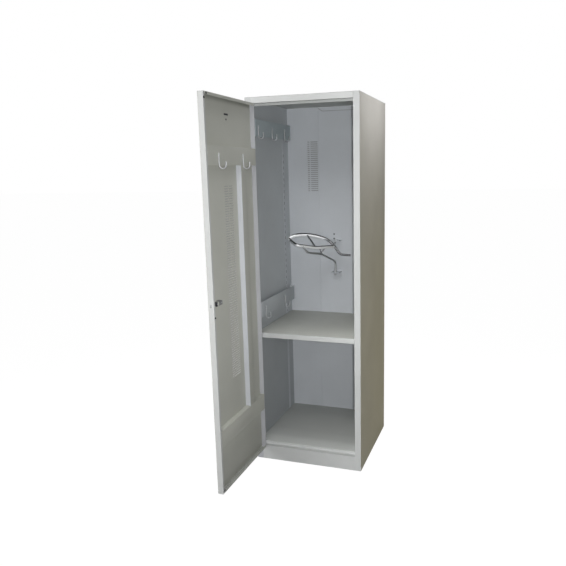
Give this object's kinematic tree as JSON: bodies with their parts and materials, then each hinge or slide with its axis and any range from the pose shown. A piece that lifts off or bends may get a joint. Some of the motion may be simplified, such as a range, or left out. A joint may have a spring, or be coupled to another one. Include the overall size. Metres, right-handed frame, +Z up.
{
  "type": "saddle locker",
  "caption": "Tall sheet-steel saddle locker with a hinged vented door, hook rails, a shelf and a swivelling tubular saddle rack.",
  "frame": {"origin": "middle of the footprint of the cabinet and its open door, on the floor", "axes": "+Z up, +Y from the front to the back, +X from the hinge side to the lock side"},
  "size_m": [0.55, 1.0606, 1.8],
  "materials": {
    "painted_steel": "light grey powder coat",
    "chrome_tube": "bright chrome plate",
    "zinc_wire": "zinc plated wire and clips",
    "bright_steel": "plain bright steel",
    "black_steel": "blackened steel",
    "dark_plastic": "matt black moulding",
    "black_rubber": "matt rubber"
  },
  "bodies": {
    "carcass": {"back_liner": "painted_steel", "back_panel": "painted_steel", "floor_panel": "painted_steel", "hinge_frame_high": "painted_steel", "hinge_frame_low": "painted_steel", "plinth_front": "painted_steel", "rack_bolt_bottom_1": "bright_steel", "rack_bolt_bottom_2": "bright_steel", "rack_bolt_top_1": "bright_steel", "rack_bolt_top_2": "bright_steel", "rack_lug_bottom": "painted_steel", "rack_lug_top": "painted_steel", "roof_panel": "painted_steel", "shelf": "painted_steel", "shelf_clip_left_front": "zinc_wire", "shelf_clip_left_rear": "zinc_wire", "shelf_clip_right_front": "zinc_wire", "shelf_clip_right_rear": "zinc_wire", "side_left": "painted_steel", "side_right": "painted_steel", "sill": "painted_steel", "stile_left": "painted_steel", "stile_right": "painted_steel", "top_rail": "painted_steel", "upright_left_front": "painted_steel", "upright_left_rear": "painted_steel", "upright_right_front": "painted_steel", "upright_right_rear": "painted_steel", "wall_hook_lower_1": "zinc_wire", "wall_hook_lower_2": "zinc_wire", "wall_hook_upper_1": "zinc_wire", "wall_hook_upper_2": "zinc_wire", "wall_hook_upper_3": "zinc_wire", "wall_rail_lower": "painted_steel", "wall_rail_upper": "painted_steel"},
    "door": {"door_buffer": "black_rubber", "door_edge_bottom": "painted_steel", "door_edge_free": "painted_steel", "door_edge_hinge": "painted_steel", "door_edge_top": "painted_steel", "door_hook_1": "zinc_wire", "door_hook_2": "zinc_wire", "door_rail_lower": "painted_steel", "door_rail_upper": "painted_steel", "door_skin": "painted_steel", "door_stiffener": "painted_steel", "hinge_door_high": "painted_steel", "hinge_door_low": "painted_steel", "label_clip": "dark_plastic", "lock_cylinder": "bright_steel", "lock_case": "dark_plastic"},
    "lock_plug": {"lock_plug": "bright_steel"},
    "lock_bolt": {"lock_bolt": "black_steel"},
    "saddle_rack": {"rack_arm": "chrome_tube", "rack_brace": "chrome_tube", "rack_collar": "bright_steel", "rack_far_rail": "chrome_tube", "rack_near_rail": "chrome_tube", "rack_strut": "chrome_tube", "rack_web": "chrome_tube"}
  },
  "joints": [
    {"name": "door_hinge", "type": "hinge", "parent": "carcass", "child": "door", "pos_m": [-0.2525, -0.03525, 0.9], "axis": [0, 0, 1], "range_deg": [-85, 90]},
    {"name": "bolt_slide", "type": "slide", "parent": "door", "child": "lock_bolt", "axis": [0, -1, 0], "range_m": [0, 0.012]},
    {"name": "plug_turn", "type": "hinge", "parent": "door", "child": "lock_plug", "pos_m": [-0.243, -0.47025, 0.918], "axis": [-1, 0, 0], "range_deg": [0, 95]},
    {"name": "rack_swivel", "type": "hinge", "parent": "carcass", "child": "saddle_rack", "pos_m": [0.006, 0.48925, 1], "axis": [0, 0, 1], "range_deg": [-20, 36]}
  ],
  "couplings": [
    {"joint": "plug_turn", "follows": "bolt_slide", "rad_per_m": 130.9}
  ]
}
